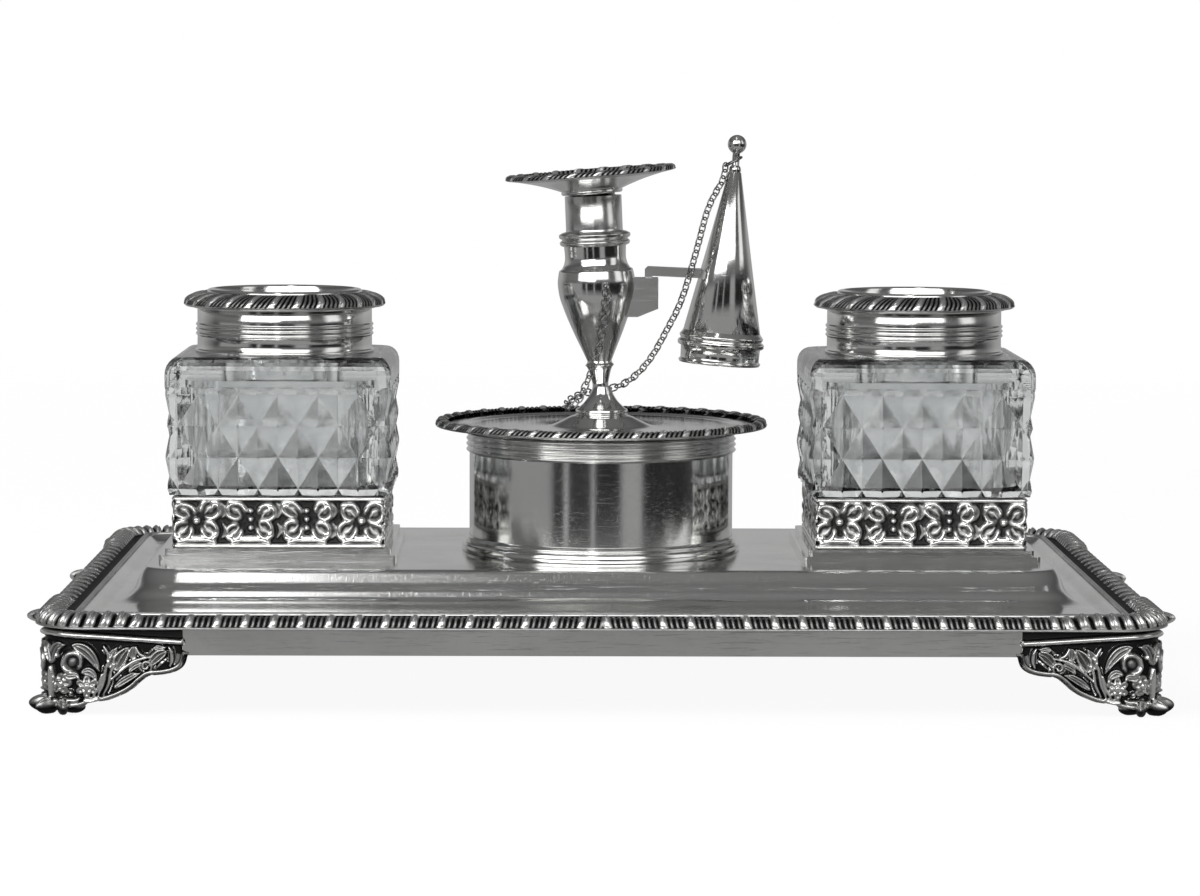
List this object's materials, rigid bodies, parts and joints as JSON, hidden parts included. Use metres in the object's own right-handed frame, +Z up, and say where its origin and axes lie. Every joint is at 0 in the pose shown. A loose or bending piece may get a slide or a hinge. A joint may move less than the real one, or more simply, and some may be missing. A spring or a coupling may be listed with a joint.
{
  "type": "desk inkstand",
  "caption": "Footed rectangular desk inkstand: gadrooned tray with pen troughs, square cut-glass ink bottles in holders, and a lidded drum carrying a taperstick with chained extinguisher.",
  "frame": {"origin": "on the table, under the centre of the tray", "axes": "+X to the right along the tray's length, +Y to the back, +Z up"},
  "size_m": [0.287, 0.194, 0.1396],
  "materials": {
    "tray_silver": "polished silver sheet with fine wear scratches",
    "gadroon_silver": "cast gadroon mounts, bright lobes with dark tarnish in the flutes",
    "cast_silver": "cast foliate relief, bright high spots over dark oxidised ground",
    "plain_silver": "polished silver",
    "cut_glass": "clear cut glass",
    "chain_silver": "silver wire, slightly tarnished",
    "fixing_brass": "plain turned brass"
  },
  "bodies": {
    "stand": {"tray_plate": "tray_silver", "apron_back": "tray_silver", "apron_front": "tray_silver", "apron_left": "tray_silver", "apron_right": "tray_silver", "border_back": "gadroon_silver", "border_front": "gadroon_silver", "border_left": "gadroon_silver", "border_right": "gadroon_silver", "corner_back_left": "gadroon_silver", "corner_back_right": "gadroon_silver", "corner_front_left": "gadroon_silver", "corner_front_right": "gadroon_silver", "side_shell_left": "gadroon_silver", "side_shell_right": "gadroon_silver", "foot_back_left": "cast_silver", "foot_back_right": "cast_silver", "foot_front_left": "cast_silver", "foot_front_right": "cast_silver", "fixing_studs": "fixing_brass", "fixing_nuts": "fixing_brass", "left_holder_base": "plain_silver", "left_holder_band": "cast_silver", "right_holder_base": "plain_silver", "right_holder_band": "cast_silver", "drum_wall": "plain_silver", "drum_floor": "plain_silver", "drum_foot_moulding": "plain_silver", "drum_top_reeds": "plain_silver"},
    "bottle_left": {"left_bottle": "cut_glass", "left_collar": "plain_silver"},
    "bottle_right": {"right_bottle": "cut_glass", "right_collar": "plain_silver"},
    "cap_left": {"left_cap": "plain_silver", "left_cap_rim": "gadroon_silver", "left_cap_bezel": "plain_silver"},
    "cap_right": {"right_cap": "plain_silver", "right_cap_rim": "gadroon_silver", "right_cap_bezel": "plain_silver"},
    "lid": {"lid_plate": "plain_silver", "lid_rim": "gadroon_silver", "lid_bezel": "plain_silver", "stick_foot": "plain_silver", "stick_stem": "plain_silver", "stick_vase": "plain_silver", "stick_socket": "plain_silver", "stick_stud": "fixing_brass", "stick_nut": "fixing_brass", "hook_socket": "plain_silver", "chain_eye": "chain_silver", "chain_lower": "chain_silver", "chain_upper": "chain_silver"},
    "nozzle": {"nozzle_tube": "plain_silver", "nozzle_pan": "plain_silver", "nozzle_rim": "gadroon_silver"},
    "extinguisher": {"extinguisher_cone": "plain_silver", "extinguisher_rim": "plain_silver", "extinguisher_hook": "plain_silver", "extinguisher_finial": "plain_silver", "jump_ring": "chain_silver"}
  },
  "joints": [
    {"name": "left_bottle_lift", "type": "slide", "parent": "stand", "child": "bottle_left", "axis": [0, 0, 1], "range_m": [0, 0.04]},
    {"name": "right_bottle_lift", "type": "slide", "parent": "stand", "child": "bottle_right", "axis": [0, 0, 1], "range_m": [0, 0.04]},
    {"name": "left_cap_lift", "type": "slide", "parent": "bottle_left", "child": "cap_left", "axis": [0, 0, 1], "range_m": [0, 0.03]},
    {"name": "right_cap_lift", "type": "slide", "parent": "bottle_right", "child": "cap_right", "axis": [0, 0, 1], "range_m": [0, 0.03]},
    {"name": "lid_lift", "type": "slide", "parent": "stand", "child": "lid", "axis": [0, 0, 1], "range_m": [0, 0.03]},
    {"name": "nozzle_lift", "type": "slide", "parent": "lid", "child": "nozzle", "axis": [-0.0802, 0, 0.9968], "range_m": [0, 0.02]},
    {"name": "extinguisher_lift", "type": "slide", "parent": "lid", "child": "extinguisher", "axis": [0, 0, 1], "range_m": [0, 0.014], "deforming": ["chain_upper"]}
  ]
}
